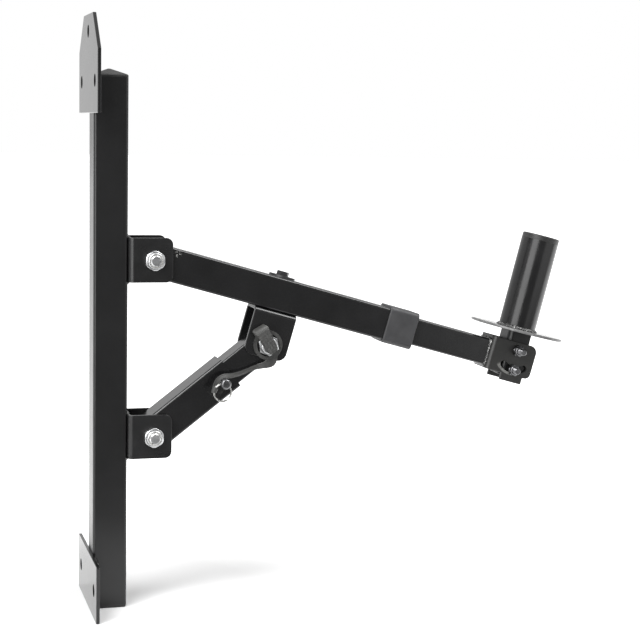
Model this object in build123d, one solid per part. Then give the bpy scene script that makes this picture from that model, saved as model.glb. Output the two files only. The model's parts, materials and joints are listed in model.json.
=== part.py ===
# Speaker wall bracket: a wall post with a hinged telescopic boom, a pinned strut and a 35 mm spigot.
# Millimetres and degrees. X points away from the wall, Y along the wall, Z up.
# The origin lies on the wall face, at the centre of the four corner fixing holes.
import os
from math import atan2, cos, degrees, hypot, radians, sin, sqrt, tan

from build123d import *

# Wall plates and their holes
PLATE_SHEET = 3.0
PLATE_WIDTH = 120.0
PLATE_CORNER = 1.5
HOLE_D = 11.0
HOLE_PITCH = 85.0
HOLE_ROWS = 438.0
LOW_PLATE_HEIGHT = 50.0
TOP_PLATE_SIDE = 53.0
TOP_PLATE_TAPER = 31.0
TOP_PLATE_PEAK = 58.0
TOP_ROW_RISE = 27.0
TOP_HOLE_RISE = 42.5

# Wall post and its plastic end caps
POST_SIZE = 30.0
POST_WALL = 2.0
POST_ABOVE_ROW = 4.0
TUBE_CORNER = 2.5
INNER_CORNER = 0.5
CAP_FLANGE = 2.5
CAP_BEVEL = 1.0
CAP_CROWN = 4.8
CAP_CROWN_FLAT = 2.0
CAP_CROWN_CORNER = 0.5
CAP_STUB = 14.0
CAP_WALL = 2.0
CAP_RIB = 1.5
PLUG_CORNER = 1.0
PLUG_FIT = 0.15

# Folded steel channels
SHEET = 3.0
BEND = 5.0
EDGE_ROUND = 0.5
SHARP_ANGLE = 30.0

# Weld beads
WELD_LEG = 3.0
HEAD_WELD_LEG = 1.8
WELD_BULGE = 0.6
WELD_TIP = 0.4

# Post clevises and the two main pivots
CLEVIS_REACH = 39.0
CLEVIS_HEIGHT = 39.0
CLEVIS_CORNER = 6.0
PIVOT_REACH = 22.5
UPPER_PIVOT_Z = 66.0
PIVOT_SPAN = 156.0
PIVOT_D = 10.0
PIVOT_ACROSS = 17.0
PIVOT_WASHER_D = 22.0
PIVOT_WASHER_THICK = 0.8
SIDE_PLAY = 0.2
RUN_FIT = 0.05
BOLT_FIT = 0.25
THREAD_FIT = 0.05
BOLT_END = 1.0

# Boom, its plastic collar and the extension that slides in it
BOOM_SIZE = 30.0
BOOM_WALL = 2.0
BOOM_DROP = 15.5
BOOM_TAIL = 11.0
BOOM_END = 248.0
COLLAR_WALL = 2.0
COLLAR_LIP = 3.5
COLLAR_GRIP = 25.0
COLLAR_CORNER = 4.0
COLLAR_EDGE = 1.0
COLLAR_FIT = 0.1
SLIDE_FIT = 0.3
SLIDER_PLAY = 0.5
SLIDER_WALL = 1.5
SLIDER_CORNER = 2.0
EXTENSION_SHOWN = 76.5
EXTENSION_INSERT = 75.0
GLIDE_FLANGE = 4.0
GLIDE_STUB = 12.0

# Strut yoke under the boom
YOKE_AT = 119.5
YOKE_LENGTH = 39.5
YOKE_DEPTH = 43.0
YOKE_CORNER = 8.0
YOKE_PIVOT_DROP = 31.0
YOKE_PIVOT_PLAY = 1.2
YOKE_BOLT_D = 6.0
YOKE_BOLT_ACROSS = 10.0
YOKE_WASHER_D = 24.0
YOKE_WASHER_THICK = 1.8

# Telescopic strut, cut from the tubes of the boom and its extension, and its lock pin
STRUT_LENGTH = 89.0
STRUT_INNER_NOSE = 10.0
STRUT_INNER_START = 18.0
YOKE_SIDE_PLAY = 0.5
LIFT_ANGLE = 20.0
PIN_FROM_END = 11.0
PIN_D = 6.0
PIN_TIP = 4.0
PIN_HEAD_D = 9.4
PIN_HEAD_LENGTH = 21.0
PIN_EYE_D = 5.0
PIN_EYE_FROM_END = 5.0
PIN_SLOT_PLAY = 0.3
PIN_SLOT_SPARE = 1.0
RING_RADIUS = 7.8
RING_WIRE_D = 1.4
RING_TURN_GAP = 1.2
RING_PLAY = 0.2
RING_ANGLE = 253.0

# Tether between the yoke's nut and the split ring
EYELET_THICK = 3.0
EYELET_WIDTH = 3.0
EYELET_PLAY = 0.4
SEAT_GAP = 0.3
TAB_WIDTH = 13.0
TAB_TIP_WIDTH = 10.0
TAB_CORNER = 3.0
TAB_OUT = 4.0
TAB_THICK = 2.4
TAB_REACH = 7.5
TAB_ANGLE = 120.0
TAB_BEND = 4.0
STRAP_D = 3.4
STRAP_ROUTE = [
    (162.9, -18.6, -23.8),
    (162.8, -19.0, -27.5),
    (159.5, -19.8, -30.6),
    (153.5, -20.0, -31.7),
    (143.5, -19.3, -31.4),
    (133.0, -20.0, -33.4),
    (124.5, -23.0, -34.0),
    (116.5, -26.0, -34.6),
    (110.4, -27.4, -37.6),
    (107.2, -27.7, -42.4),
    (106.9, -27.6, -47.6),
]

# Head clevis at the end of the extension
EAR_REACH = 46.0
EAR_TOP = 16.5
EAR_BOTTOM = 15.0
LOBE_BOTTOM = 21.5
LOBE_START = 17.0
LOBE_END = 39.0
EAR_CORNER = 7.0
EAR_NOSE_CORNER = 5.0
HEAD_PIVOT_REACH = 27.0
HEAD_PIVOT_RISE = 8.8
HEAD_BOLT_D = 6.0
HEAD_BOLT_ACROSS = 10.0
HEAD_BOLT_END = 8.5
CLAMP_BOLT_END = 6.0
CLAMP_RADIUS = 18.5
CLAMP_SWEEP = 34.0
CLAMP_PLAY = 0.3

# Speaker head: tongue, disc and spigot
HEAD_ANGLE = 14.0
TONGUE_DEPTH = 22.0
TONGUE_WIDTH = 26.0
TONGUE_PLAY = 0.5
TONGUE_BELOW = 7.0
TONGUE_CORNER = 5.0
DISC_D = 88.0
DISC_THICK = 2.5
DISC_RISE = 17.4
DISC_EDGE = 0.8
SPIGOT_D = 35.0
SPIGOT_WALL = 2.0
SPIGOT_LENGTH = 90.0
SPIGOT_CAP = 5.0
SPIGOT_CAP_EDGE = 1.0
SPIGOT_CAP_INSET = 0.15
SPIGOT_WELD = 2.4
SPIGOT_PREP = 0.5

# Proportions of the fasteners, as shares of their thread
HEAD_RATIO = 0.64
NUT_HEX_RATIO = 0.6
NUT_CROWN_RATIO = 0.4
CROWN_ROUND_RATIO = 0.2
TIP_CHAMFER_RATIO = 0.1
HEX_CORNER_RATIO = 0.07
CROWN_WIDTH_RATIO = 0.46

# Sizes and widths that follow from what sits inside them
slider_size = BOOM_SIZE - 2 * (BOOM_WALL + SLIDER_PLAY)
clevis_width = BOOM_SIZE + 2 * (PIVOT_WASHER_THICK + SIDE_PLAY + SHEET)
yoke_width = slider_size + 2 * (YOKE_SIDE_PLAY + SHEET)
ear_width = TONGUE_WIDTH + 2 * (TONGUE_PLAY + SHEET)

# Places along the wall
low_row_z = -HOLE_ROWS / 2
top_row_z = HOLE_ROWS / 2
low_plate_bottom = low_row_z - LOW_PLATE_HEIGHT / 2
post_bottom = low_plate_bottom + CAP_FLANGE
post_top = top_row_z + POST_ABOVE_ROW
post_x = PLATE_SHEET + POST_SIZE / 2
post_face = PLATE_SHEET + POST_SIZE
pivot_x = post_face + PIVOT_REACH
lower_pivot_z = UPPER_PIVOT_Z - PIVOT_SPAN

# Frames of the moving members: X along each arm, the spigot's axis along Z
boom_frame = Location((pivot_x, 0, UPPER_PIVOT_Z), (0, BOOM_DROP, 0))
yoke_pivot = (boom_frame * Pos(YOKE_AT, 0, -BOOM_SIZE / 2 - YOKE_PIVOT_DROP)).position
strut_reach = hypot(yoke_pivot.X - pivot_x, yoke_pivot.Z - lower_pivot_z)
strut_rise = degrees(atan2(yoke_pivot.Z - lower_pivot_z, yoke_pivot.X - pivot_x))
strut_frame = Location((pivot_x, 0, lower_pivot_z), (0, -strut_rise, 0))
collar_end = BOOM_END + COLLAR_LIP
web_at = collar_end + EXTENSION_SHOWN
head_pivot = (boom_frame * Pos(web_at + HEAD_PIVOT_REACH, 0, HEAD_PIVOT_RISE)).position
head_frame = Location((head_pivot.X, 0, head_pivot.Z), (0, HEAD_ANGLE, 0))

# Strut length at the highest position of the boom
lifted_frame = Location((pivot_x, 0, UPPER_PIVOT_Z), (0, BOOM_DROP - LIFT_ANGLE, 0))
lifted_pivot = (lifted_frame * Pos(YOKE_AT, 0, -BOOM_SIZE / 2 - YOKE_PIVOT_DROP)).position
lifted_reach = hypot(lifted_pivot.X - pivot_x, lifted_pivot.Z - lower_pivot_z)
strut_travel = lifted_reach - strut_reach
pin_at = STRUT_LENGTH - PIN_FROM_END

# Directions of the fasteners: out of the near side, and out of the far side
NEAR = Rot(90, 0, 0)
FAR = Rot(-90, 0, 0)


def square_section(size, wall, corner):
    hollow = size - 2 * wall
    inner_corner = max(corner - wall, INNER_CORNER)
    return RectangleRounded(size, size, corner) - RectangleRounded(hollow, hollow, inner_corner)


def square_tube(size, wall, corner, start, end):
    return extrude(Plane.YZ.offset(start) * square_section(size, wall, corner), amount=end - start)


def square_bar(size, corner, start, end):
    return extrude(Plane.YZ.offset(start) * RectangleRounded(size, size, corner), amount=end - start)


def cross_bore(radius, x, z, span):
    return Pos(x, 0, z) * NEAR * Cylinder(radius, span)


def rounded_outline(points, rounding):
    # rounding maps a corner of the outline to its radius
    outline = make_face(Polyline(*points, close=True))
    for corner, radius in rounding.items():
        vertex = outline.vertices().sort_by_distance((corner[0], corner[1], 0))[0]
        outline = fillet(vertex, radius)
    return outline


def softened(sheet):
    # The coat of paint rounds every sharp edge of the sheet
    beside = {}
    for face in sheet.faces():
        for edge in face.edges():
            beside.setdefault(edge, []).append(face)
    sharp = []
    for edge, (first, second) in beside.items():
        middle = edge @ 0.5
        if first.normal_at(middle).get_angle(second.normal_at(middle)) > SHARP_ANGLE:
            sharp.append(edge)
    return fillet(sharp, EDGE_ROUND)


def folded_channel(width, reach, side_outline):
    # Sheet folded to a U: web on X = 0, ears towards +X, cut to the outline seen from the side
    outer = Pos(reach / 2, 0) * Rectangle(reach, width)
    outer = fillet(outer.vertices().group_by(Axis.X)[0], BEND)
    inner = Pos(SHEET + reach / 2, 0) * Rectangle(reach, width - 2 * SHEET)
    inner = fillet(inner.vertices().group_by(Axis.X)[0], BEND - SHEET)
    height = 2 * max(abs(v.Y) for v in side_outline.vertices())
    folded = extrude(outer - inner, amount=height, both=True)
    return softened(folded & extrude(Plane.XZ * side_outline, amount=width, both=True))


def hexagon(across, height):
    rounder = Pos(0, 0, height / 2) * Cylinder(across / sqrt(3), height)
    rounder = chamfer(rounder.edges().group_by(Axis.Z)[-1], HEX_CORNER_RATIO * across)
    return extrude(RegularPolygon(across / 2, 6, major_radius=False), amount=height) & rounder


def hex_bolt(diameter, across, length):
    shank = Pos(0, 0, -length / 2) * Cylinder(diameter / 2, length)
    shank = chamfer(shank.edges().group_by(Axis.Z)[0], TIP_CHAMFER_RATIO * diameter)
    return hexagon(across, HEAD_RATIO * diameter) + shank


def nut_height(diameter):
    return (NUT_HEX_RATIO + NUT_CROWN_RATIO) * diameter


def lock_nut(diameter, across):
    flats = NUT_HEX_RATIO * diameter
    rise = NUT_CROWN_RATIO * diameter
    crown = Pos(0, 0, flats + rise / 2) * Cylinder(CROWN_WIDTH_RATIO * across, rise)
    crown = fillet(crown.edges().group_by(Axis.Z)[-1], CROWN_ROUND_RATIO * diameter)
    bore = Cylinder(diameter / 2 + THREAD_FIT, 4 * diameter)
    return hexagon(across, flats) + crown - bore


def washer(outer_d, bore_d, thick):
    return Pos(0, 0, thick / 2) * (Cylinder(outer_d / 2, thick) - Cylinder(bore_d / 2, thick))


def plug_stub(size, depth):
    # Hollow stub of a tube plug with one cross of ribs, below Z = 0
    stub = extrude(square_section(size, CAP_WALL, PLUG_CORNER), amount=-depth)
    rib = Pos(0, 0, -depth / 2) * Box(size - CAP_WALL, CAP_RIB, depth)
    return stub + rib + Rot(0, 0, 90) * rib


# Wall plates
def plate_holes(places):
    return [Pos(0, y, z) * Rot(0, 90, 0) * Cylinder(HOLE_D / 2, 4 * PLATE_SHEET) for y, z in places]


def wall_plate(outline, places):
    plate = softened(extrude(Plane.YZ * outline, amount=PLATE_SHEET))
    return plate - plate_holes(places)


half = PLATE_WIDTH / 2
peak = TOP_PLATE_PEAK / 2
top_plate_bottom = top_row_z - TOP_ROW_RISE
shoulder = top_plate_bottom + TOP_PLATE_SIDE
summit = shoulder + TOP_PLATE_TAPER
top_outline_points = [
    (-half, top_plate_bottom),
    (half, top_plate_bottom),
    (half, shoulder),
    (peak, summit),
    (-peak, summit),
    (-half, shoulder),
]
top_outline = rounded_outline(top_outline_points, {point: PLATE_CORNER for point in top_outline_points})
low_outline = Pos(0, low_row_z) * RectangleRounded(PLATE_WIDTH, LOW_PLATE_HEIGHT, PLATE_CORNER)
row_of_holes = [-HOLE_PITCH / 2, HOLE_PITCH / 2]
top_holes = [(y, top_row_z) for y in row_of_holes] + [(0, top_row_z + TOP_HOLE_RISE)]
top_wall_plate = wall_plate(top_outline, top_holes)
bottom_wall_plate = wall_plate(low_outline, [(y, low_row_z) for y in row_of_holes])

# Wall post and its caps
post_section = Pos(post_x, 0, post_bottom) * square_section(POST_SIZE, POST_WALL, TUBE_CORNER)
wall_post = extrude(post_section, amount=post_top - post_bottom)


def post_cap():
    flange = extrude(RectangleRounded(POST_SIZE, POST_SIZE, TUBE_CORNER), amount=CAP_FLANGE)
    flange = chamfer(flange.edges().group_by(Axis.Z)[-1], CAP_BEVEL)
    return flange + plug_stub(POST_SIZE - 2 * POST_WALL - 2 * PLUG_FIT, CAP_STUB)


# The top cap carries a low pitched crown
crown_base = POST_SIZE - 2 * CAP_BEVEL
crown_foot = RectangleRounded(crown_base, crown_base, TUBE_CORNER - CAP_BEVEL)
crown_peak = RectangleRounded(CAP_CROWN_FLAT, CAP_CROWN_FLAT, CAP_CROWN_CORNER)
cap_crown = loft([crown_foot, Pos(0, 0, CAP_CROWN) * crown_peak])
post_top_cap = Pos(post_x, 0, post_top) * (post_cap() + Pos(0, 0, CAP_FLANGE) * cap_crown)
post_bottom_cap = Pos(post_x, 0, post_bottom) * Rot(180, 0, 0) * post_cap()


# Weld beads: a filled corner with a bulging face
def bead_face(leg_x, leg_y):
    bulge = ThreePointArc((leg_x, 0), (WELD_BULGE * leg_x, WELD_BULGE * leg_y), (0, leg_y))
    return make_face([Line((0, leg_y), (0, 0)), Line((0, 0), (leg_x, 0)), bulge])


def groove_welds(low_z, high_z):
    # Beads in the two grooves between a plate and the rounded corners of the post
    start = Pos(PLATE_SHEET, POST_SIZE / 2 - TUBE_CORNER, low_z + WELD_LEG)
    section = start * bead_face(TUBE_CORNER + WELD_LEG, TUBE_CORNER + WELD_LEG)
    section -= Pos(post_x, 0, low_z + WELD_LEG) * RectangleRounded(POST_SIZE, POST_SIZE, TUBE_CORNER)
    bead = extrude(section, amount=high_z - low_z - 2 * WELD_LEG)
    return [bead, mirror(bead, about=Plane.XZ)]


def clevis_beads(pivot_z):
    # Beads across the post face, along the upper and lower edges of a clevis web
    length = POST_SIZE - 2 * TUBE_CORNER
    bead = extrude(bead_face(SHEET, WELD_LEG), amount=length / 2, both=True)
    upper = Pos(post_face, 0, pivot_z + CLEVIS_HEIGHT / 2) * Rot(90, 0, 0) * bead
    lower = Pos(post_face, 0, pivot_z - CLEVIS_HEIGHT / 2) * Rot(-90, 0, 0) * bead
    return [upper, lower]


top_welds = groove_welds(top_plate_bottom, post_top)
low_welds = groove_welds(post_bottom, low_plate_bottom + LOW_PLATE_HEIGHT)
plate_welds = Part() + top_welds + low_welds
clevis_welds = Part() + clevis_beads(UPPER_PIVOT_Z) + clevis_beads(lower_pivot_z)


# Post clevises with their pivot hardware
def post_clevis(pivot_z):
    half_height = CLEVIS_HEIGHT / 2
    corners = [(CLEVIS_REACH, -half_height), (CLEVIS_REACH, half_height)]
    points = [(0, -half_height), corners[0], corners[1], (0, half_height)]
    outline = rounded_outline(points, {corner: CLEVIS_CORNER for corner in corners})
    clevis = folded_channel(clevis_width, CLEVIS_REACH, outline)
    clevis -= cross_bore(PIVOT_D / 2 + BOLT_FIT, PIVOT_REACH, 0, 2 * clevis_width)
    return Pos(post_face, 0, pivot_z) * clevis


def cross_bolt(diameter, across, width, end):
    # Bolt across a width: head on the far side, its end past the nut on the near side
    length = width + nut_height(diameter) + end
    return Pos(0, width / 2, 0) * FAR * hex_bolt(diameter, across, length)


def cross_nut(diameter, across, width):
    return Pos(0, -width / 2, 0) * NEAR * lock_nut(diameter, across)


def pivot_washers():
    bore = PIVOT_D + 2 * BOLT_FIT
    inside = clevis_width / 2 - SHEET
    near = Pos(0, -inside, 0) * FAR * washer(PIVOT_WASHER_D, bore, PIVOT_WASHER_THICK)
    far = Pos(0, inside, 0) * NEAR * washer(PIVOT_WASHER_D, bore, PIVOT_WASHER_THICK)
    return Part() + [near, far]


nodes = {
    "wall_post": wall_post,
    "top_wall_plate": top_wall_plate,
    "bottom_wall_plate": bottom_wall_plate,
    "post_top_cap": post_top_cap,
    "post_bottom_cap": post_bottom_cap,
    "plate_welds": plate_welds,
    "clevis_welds": clevis_welds,
}
for name, pivot_z in (("upper", UPPER_PIVOT_Z), ("lower", lower_pivot_z)):
    at_pivot = Pos(pivot_x, 0, pivot_z)
    nodes[f"{name}_clevis"] = post_clevis(pivot_z)
    nodes[f"{name}_pivot_bolt"] = at_pivot * cross_bolt(PIVOT_D, PIVOT_ACROSS, clevis_width, BOLT_END)
    nodes[f"{name}_pivot_nut"] = at_pivot * cross_nut(PIVOT_D, PIVOT_ACROSS, clevis_width)
    nodes[f"{name}_pivot_washers"] = at_pivot * pivot_washers()

# Boom tube, with the pivot bore and the bore of the yoke bolt
boom_tube = square_tube(BOOM_SIZE, BOOM_WALL, TUBE_CORNER, -BOOM_TAIL, BOOM_END)
boom_tube -= cross_bore(PIVOT_D / 2 + RUN_FIT, 0, 0, 2 * BOOM_SIZE)
boom_tube -= Pos(YOKE_AT, 0, 0) * Cylinder(YOKE_BOLT_D / 2 + BOLT_FIT, 2 * BOOM_SIZE)
nodes["boom_tube"] = boom_frame * boom_tube

# Plastic collar over the open end of the boom
collar_size = BOOM_SIZE + 2 * (COLLAR_WALL + COLLAR_FIT)
collar_start = BOOM_END - COLLAR_GRIP
collar = square_bar(collar_size, COLLAR_CORNER, collar_start, collar_end)
collar_rims = collar.edges().group_by(Axis.X)
collar = fillet(collar_rims[0] + collar_rims[-1], COLLAR_EDGE)
collar -= square_bar(BOOM_SIZE + 2 * COLLAR_FIT, TUBE_CORNER, collar_start, BOOM_END)
collar -= square_bar(slider_size + 2 * SLIDE_FIT, SLIDER_CORNER, collar_start, collar_end)
nodes["boom_collar"] = boom_frame * collar

# Yoke under the boom, and the bolt that holds it
yoke_half = YOKE_LENGTH / 2
yoke_corners = [(YOKE_DEPTH, -yoke_half), (YOKE_DEPTH, yoke_half)]
yoke_points = [(0, -yoke_half), yoke_corners[0], yoke_corners[1], (0, yoke_half)]
yoke_outline = rounded_outline(yoke_points, {corner: YOKE_CORNER for corner in yoke_corners})
yoke = folded_channel(yoke_width, YOKE_DEPTH, yoke_outline)
yoke -= cross_bore(PIVOT_D / 2 + YOKE_PIVOT_PLAY, YOKE_PIVOT_DROP, 0, 2 * yoke_width)
yoke -= Rot(0, 90, 0) * Cylinder(YOKE_BOLT_D / 2 + BOLT_FIT, 4 * SHEET)
yoke_frame = boom_frame * Pos(YOKE_AT, 0, 0)
nodes["strut_yoke"] = yoke_frame * Pos(0, 0, -BOOM_SIZE / 2) * Rot(0, 90, 0) * yoke

yoke_grip = YOKE_WASHER_THICK + BOOM_SIZE + SHEET
yoke_bolt = hex_bolt(YOKE_BOLT_D, YOKE_BOLT_ACROSS, yoke_grip + nut_height(YOKE_BOLT_D) + BOLT_END)
yoke_washer = washer(YOKE_WASHER_D, YOKE_BOLT_D + 2 * BOLT_FIT, YOKE_WASHER_THICK)
boom_top = yoke_frame * Pos(0, 0, BOOM_SIZE / 2)
nodes["yoke_bolt"] = boom_top * Pos(0, 0, YOKE_WASHER_THICK) * yoke_bolt
nodes["yoke_washer"] = boom_top * yoke_washer
yoke_nut = Pos(0, 0, -BOOM_SIZE / 2 - SHEET) * Rot(180, 0, 0) * lock_nut(YOKE_BOLT_D, YOKE_BOLT_ACROSS)
nodes["yoke_nut"] = yoke_frame * yoke_nut

# Extension tube with the plastic glide on its hidden end
extension_start = collar_end - EXTENSION_INSERT
extension = square_tube(slider_size, SLIDER_WALL, SLIDER_CORNER, extension_start, web_at)
nodes["extension_tube"] = boom_frame * extension

glide_size = BOOM_SIZE - 2 * BOOM_WALL - 2 * SLIDE_FIT
glide = extrude(RectangleRounded(glide_size, glide_size, SLIDER_CORNER), amount=GLIDE_FLANGE)
glide += plug_stub(slider_size - 2 * SLIDER_WALL - 2 * PLUG_FIT, GLIDE_STUB)
nodes["extension_glide"] = boom_frame * Pos(extension_start, 0, 0) * Rot(0, -90, 0) * glide

# Head clevis, welded to the end of the extension
nose_low = (EAR_REACH, -EAR_BOTTOM)
nose_high = (EAR_REACH, EAR_TOP)
ear_points = [
    (0, -EAR_BOTTOM),
    (LOBE_START, -EAR_BOTTOM),
    (LOBE_START, -LOBE_BOTTOM),
    (LOBE_END, -LOBE_BOTTOM),
    (LOBE_END, -EAR_BOTTOM),
    nose_low,
    nose_high,
    (0, EAR_TOP),
]
ear_outline = rounded_outline(ear_points, {nose_low: EAR_NOSE_CORNER, nose_high: EAR_CORNER})
head_clevis = folded_channel(ear_width, EAR_REACH, ear_outline)
head_clevis -= cross_bore(HEAD_BOLT_D / 2 + BOLT_FIT, HEAD_PIVOT_REACH, HEAD_PIVOT_RISE, 2 * ear_width)
slot_centre = (HEAD_PIVOT_REACH, HEAD_PIVOT_RISE)
slot_arc = CenterArc(slot_centre, CLAMP_RADIUS, -90 - CLAMP_SWEEP, 2 * CLAMP_SWEEP)
slot = Plane.XZ * SlotArc(slot_arc, HEAD_BOLT_D + 2 * CLAMP_PLAY)
head_clevis -= extrude(slot, amount=ear_width, both=True)
nodes["head_clevis"] = boom_frame * Pos(web_at, 0, 0) * head_clevis

# Weld bead round the extension, on the flat of the web between its bends
weld_tip = slider_size + 2 * WELD_TIP
weld_foot = slider_size + 2 * HEAD_WELD_LEG
tip_outline = RectangleRounded(weld_tip, weld_tip, SLIDER_CORNER + WELD_TIP)
foot_outline = RectangleRounded(weld_foot, weld_foot, SLIDER_CORNER + HEAD_WELD_LEG)
tip_plane = Plane.YZ.offset(web_at - HEAD_WELD_LEG)
head_weld = loft([tip_plane * tip_outline, Plane.YZ.offset(web_at) * foot_outline])
head_weld -= square_bar(slider_size, SLIDER_CORNER, web_at - 2 * WELD_LEG, web_at + WELD_LEG)
nodes["head_weld"] = boom_frame * head_weld

head_pivot_frame = boom_frame * Pos(web_at + HEAD_PIVOT_REACH, 0, HEAD_PIVOT_RISE)
head_pivot_bolt = cross_bolt(HEAD_BOLT_D, HEAD_BOLT_ACROSS, ear_width, HEAD_BOLT_END)
nodes["head_pivot_bolt"] = head_pivot_frame * head_pivot_bolt
nodes["head_pivot_nut"] = head_pivot_frame * cross_nut(HEAD_BOLT_D, HEAD_BOLT_ACROSS, ear_width)

# Tongue: a channel on end between the ears, its web towards the arm
tongue_bottom = -CLAMP_RADIUS - TONGUE_BELOW
tongue_corner = (TONGUE_DEPTH, tongue_bottom)
tongue_points = [(0, tongue_bottom), tongue_corner, (TONGUE_DEPTH, DISC_RISE), (0, DISC_RISE)]
tongue_outline = rounded_outline(tongue_points, {tongue_corner: TONGUE_CORNER})
tongue = folded_channel(TONGUE_WIDTH, TONGUE_DEPTH, tongue_outline)
tongue = Pos(-TONGUE_DEPTH / 2, 0, 0) * tongue
tongue -= cross_bore(HEAD_BOLT_D / 2 + RUN_FIT, 0, 0, 2 * TONGUE_WIDTH)
tongue -= cross_bore(HEAD_BOLT_D / 2 + RUN_FIT, 0, -CLAMP_RADIUS, 2 * TONGUE_WIDTH)
nodes["head_tongue"] = head_frame * tongue

clamp_width = ear_width + 2 * SIDE_PLAY
clamp_frame = head_frame * Pos(0, 0, -CLAMP_RADIUS)
head_clamp_bolt = cross_bolt(HEAD_BOLT_D, HEAD_BOLT_ACROSS, clamp_width, CLAMP_BOLT_END)
nodes["head_clamp_bolt"] = clamp_frame * head_clamp_bolt
nodes["head_clamp_nut"] = clamp_frame * cross_nut(HEAD_BOLT_D, HEAD_BOLT_ACROSS, clamp_width)

# Support disc, spigot and its cap
disc_top = DISC_RISE + DISC_THICK
disc = Pos(0, 0, DISC_RISE + DISC_THICK / 2) * Cylinder(DISC_D / 2, DISC_THICK)
disc = fillet(disc.edges(), DISC_EDGE)
nodes["support_disc"] = head_frame * disc

# The tube's foot is bevelled for its weld
spigot_r = SPIGOT_D / 2
spigot_bore = spigot_r - SPIGOT_WALL
tube_length = SPIGOT_LENGTH - SPIGOT_CAP
tube_points = [
    (spigot_bore, 0),
    (spigot_r - SPIGOT_PREP, 0),
    (spigot_r, SPIGOT_WELD),
    (spigot_r, tube_length),
    (spigot_bore, tube_length),
]
tube_profile = make_face(Polyline(*tube_points, close=True))
spigot_frame = head_frame * Pos(0, 0, disc_top)
spigot_tube = revolve(Plane.XZ * tube_profile, Axis.Z)
nodes["spigot_tube"] = spigot_frame * spigot_tube

weld_section = Pos(spigot_r - SPIGOT_PREP, 0) * bead_face(SPIGOT_WELD + SPIGOT_PREP, SPIGOT_WELD)
spigot_weld = revolve(Plane.XZ * weld_section, Axis.Z)
nodes["spigot_weld"] = spigot_frame * (spigot_weld - spigot_tube)

spigot_cap = Pos(0, 0, SPIGOT_CAP / 2) * Cylinder(spigot_r - SPIGOT_CAP_INSET, SPIGOT_CAP)
spigot_cap = fillet(spigot_cap.edges().group_by(Axis.Z)[-1], SPIGOT_CAP_EDGE)
stub_r = spigot_bore - PLUG_FIT
cap_stub = Cylinder(stub_r, CAP_STUB) - Cylinder(stub_r - CAP_WALL, CAP_STUB)
spigot_cap += Pos(0, 0, -CAP_STUB / 2) * cap_stub
nodes["spigot_cap"] = spigot_frame * Pos(0, 0, tube_length) * spigot_cap

# Strut tubes: the pin runs through the outer tube and a long slot in the inner one
strut_tube = square_tube(BOOM_SIZE, BOOM_WALL, TUBE_CORNER, -BOOM_TAIL, STRUT_LENGTH)
strut_tube -= cross_bore(PIVOT_D / 2 + RUN_FIT, 0, 0, 2 * BOOM_SIZE)
strut_tube -= cross_bore(PIN_D / 2 + RUN_FIT, pin_at, 0, 2 * BOOM_SIZE)
nodes["strut_outer_tube"] = strut_frame * strut_tube

inner_end = strut_reach + STRUT_INNER_NOSE
inner_start = STRUT_INNER_START
inner_tube = square_tube(slider_size, SLIDER_WALL, SLIDER_CORNER, inner_start, inner_end)
inner_tube -= cross_bore(PIVOT_D / 2 + RUN_FIT, strut_reach, 0, 2 * slider_size)
slot_width = PIN_D + 2 * PIN_SLOT_PLAY
slot_length = strut_travel + slot_width + 2 * PIN_SLOT_SPARE
pin_slot = Pos(pin_at - strut_travel / 2, 0) * SlotOverall(slot_length, slot_width)
inner_tube -= extrude(Plane.XZ * pin_slot, amount=slider_size, both=True)
nodes["strut_inner_tube"] = strut_frame * inner_tube

strut_pivot_frame = strut_frame * Pos(strut_reach, 0, 0)
seat_width = yoke_width + 2 * SIDE_PLAY
nodes["strut_pivot_bolt"] = strut_pivot_frame * cross_bolt(PIVOT_D, PIVOT_ACROSS, seat_width, BOLT_END)
nodes["strut_pivot_nut"] = strut_pivot_frame * cross_nut(PIVOT_D, PIVOT_ACROSS, seat_width)

# Lock pin: a shank and a thicker head with an eye for the split ring
pin_length = BOOM_SIZE + PIN_TIP
pin = Pos(0, 0, -pin_length / 2) * Cylinder(PIN_D / 2, pin_length)
pin = chamfer(pin.edges().group_by(Axis.Z)[0], PIN_D / 6)
pin_head = Pos(0, 0, PIN_HEAD_LENGTH / 2) * Cylinder(PIN_HEAD_D / 2, PIN_HEAD_LENGTH)
pin += fillet(pin_head.edges().group_by(Axis.Z)[-1], PIN_HEAD_D / 4)
eye_height = PIN_HEAD_LENGTH - PIN_EYE_FROM_END
pin_frame = Location((strut_frame * Pos(pin_at, -BOOM_SIZE / 2, 0)).position, (90, 0, 0))
# The eye points across the direction in which the ring hangs
eye_frame = Pos(0, 0, eye_height) * Rot(0, 0, RING_ANGLE)
pin -= eye_frame * Rot(90, 0, 0) * Cylinder(PIN_EYE_D / 2, 2 * PIN_HEAD_D)
nodes["lock_pin"] = pin_frame * pin

# Split ring: two turns of wire side by side, hung in the pin's eye
eye_mouth = sqrt(PIN_HEAD_D**2 - PIN_EYE_D**2) / 2
eye_sag = RING_RADIUS - sqrt(RING_RADIUS**2 - eye_mouth**2)
eye_room = sqrt((PIN_EYE_D - RING_WIRE_D) ** 2 - RING_TURN_GAP**2) / 2
ring_hang = RING_RADIUS - eye_sag + eye_room - RING_PLAY
wire_turns = [Pos(RING_RADIUS, side * RING_TURN_GAP / 2) * Circle(RING_WIRE_D / 2) for side in (-1, 1)]
ring = revolve(Plane.XZ * (wire_turns[0] + wire_turns[1]), Axis.Z)
nodes["pin_ring"] = pin_frame * eye_frame * Pos(ring_hang, 0, 0) * ring

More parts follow.
